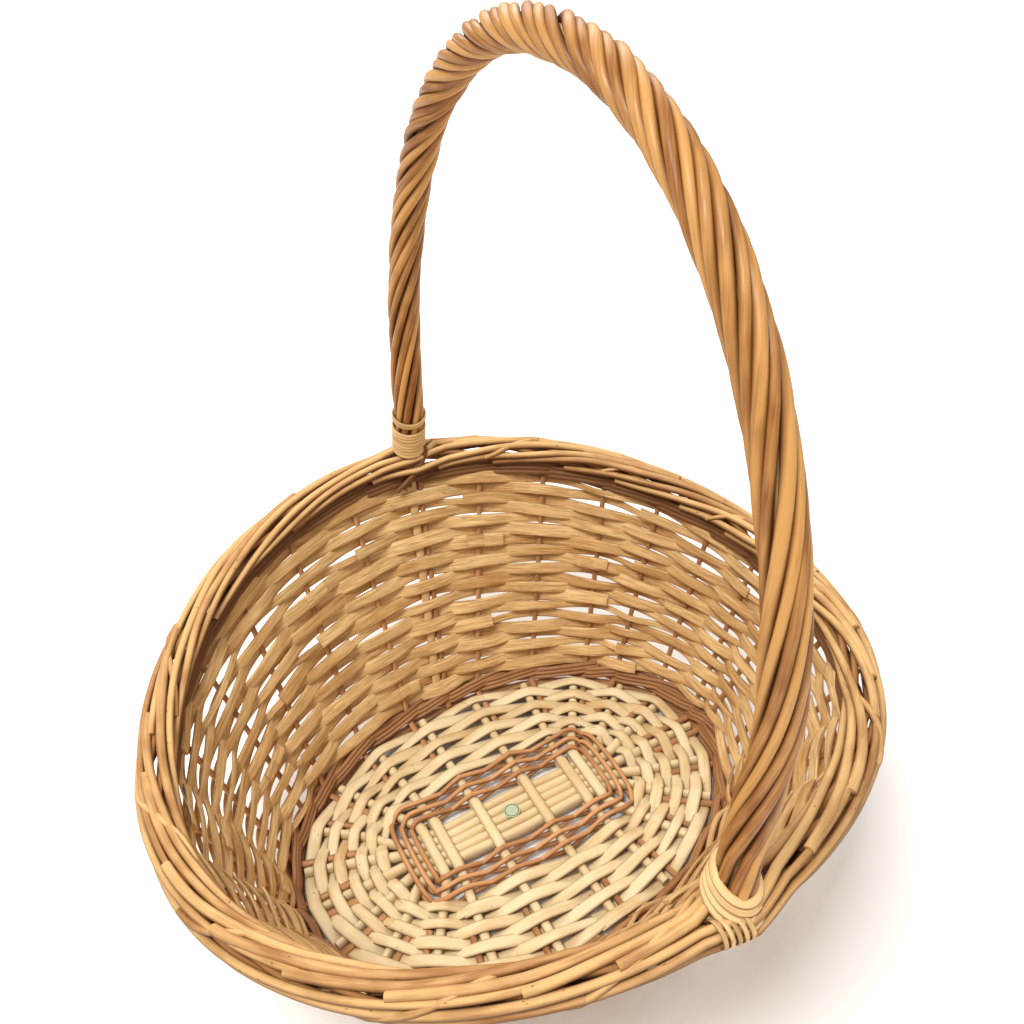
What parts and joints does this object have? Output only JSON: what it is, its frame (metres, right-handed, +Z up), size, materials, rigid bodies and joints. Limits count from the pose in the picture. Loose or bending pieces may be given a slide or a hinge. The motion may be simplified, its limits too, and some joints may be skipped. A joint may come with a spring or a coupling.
{
  "type": "egg collection basket",
  "caption": "Oval woven willow basket with flared wall, rolled rod border and one fixed roped bow handle, for gathering and carrying eggs.",
  "frame": {"origin": "on the ground under the middle of the rim", "axes": "+X along the floor's long sticks, +Y from the near handle foot to the far one, +Z up"},
  "size_m": [0.429, 0.4163, 0.497],
  "materials": {
    "peeled_stick": "smooth peeled willow, matt",
    "split_floor": "split white willow, matt",
    "split_wall": "split willow with a rough pith side, matt",
    "brown_rod": "buff round willow, satin",
    "border_rod": "buff round willow, satin",
    "handle_rod": "buff round willow, polished by handling",
    "skein": "shaved willow skein, satin",
    "label": "plain round paper label"
  },
  "bodies": {
    "root": {"base_long_stick_1": "peeled_stick", "base_long_stick_2": "peeled_stick", "base_long_stick_3": "peeled_stick", "base_long_stick_4": "peeled_stick", "base_long_stick_5": "peeled_stick", "base_cross_stick_1": "peeled_stick", "base_cross_stick_2": "peeled_stick", "base_cross_stick_3": "peeled_stick", "base_cross_stick_4": "peeled_stick", "base_cross_stick_5": "peeled_stick", "base_cross_stick_6": "peeled_stick", "base_pairing_rod_1": "brown_rod", "base_pairing_rod_2": "brown_rod", "base_pairing_rod_3": "brown_rod", "base_weaver_1": "split_floor", "base_weaver_2": "split_floor", "base_weaver_3": "split_floor", "base_weaver_4": "split_floor", "base_weaver_5": "split_floor", "base_weaver_6": "split_floor", "base_weaver_7": "split_floor", "base_weaver_8": "split_floor", "foot_wale": "brown_rod", "upsett_wale_1": "brown_rod", "upsett_wale_2": "brown_rod", "side_stakes": "brown_rod", "wall_weaver_1": "split_wall", "wall_weaver_2": "split_wall", "wall_weaver_3": "split_wall", "wall_weaver_4": "split_wall", "wall_weaver_5": "split_wall", "wall_weaver_6": "split_wall", "wall_weaver_7": "split_wall", "wall_weaver_8": "split_wall", "wall_weaver_9": "split_wall", "wall_weaver_10": "split_wall", "wall_weaver_11": "split_wall", "wall_weaver_12": "split_wall", "wall_weaver_13": "split_wall", "wall_weaver_14": "split_wall", "wall_weaver_15": "split_wall", "wall_weaver_16": "split_wall", "wall_weaver_17": "split_wall", "wall_weaver_18": "split_wall", "wall_weaver_19": "split_wall", "wall_weaver_20": "split_wall", "top_wale": "border_rod", "border_rods": "border_rod", "handle_bow": "peeled_stick", "handle_rope_rod_1": "handle_rod", "handle_rope_rod_2": "handle_rod", "handle_rope_rod_3": "handle_rod", "handle_rope_rod_4": "handle_rod", "handle_rope_rod_5": "handle_rod", "handle_rope_rod_6": "handle_rod", "handle_rope_rod_7": "handle_rod", "handle_rope_rod_8": "handle_rod", "handle_binding_far": "skein", "handle_binding_near": "skein", "paper_label": "label"}
  },
  "joints": []
}
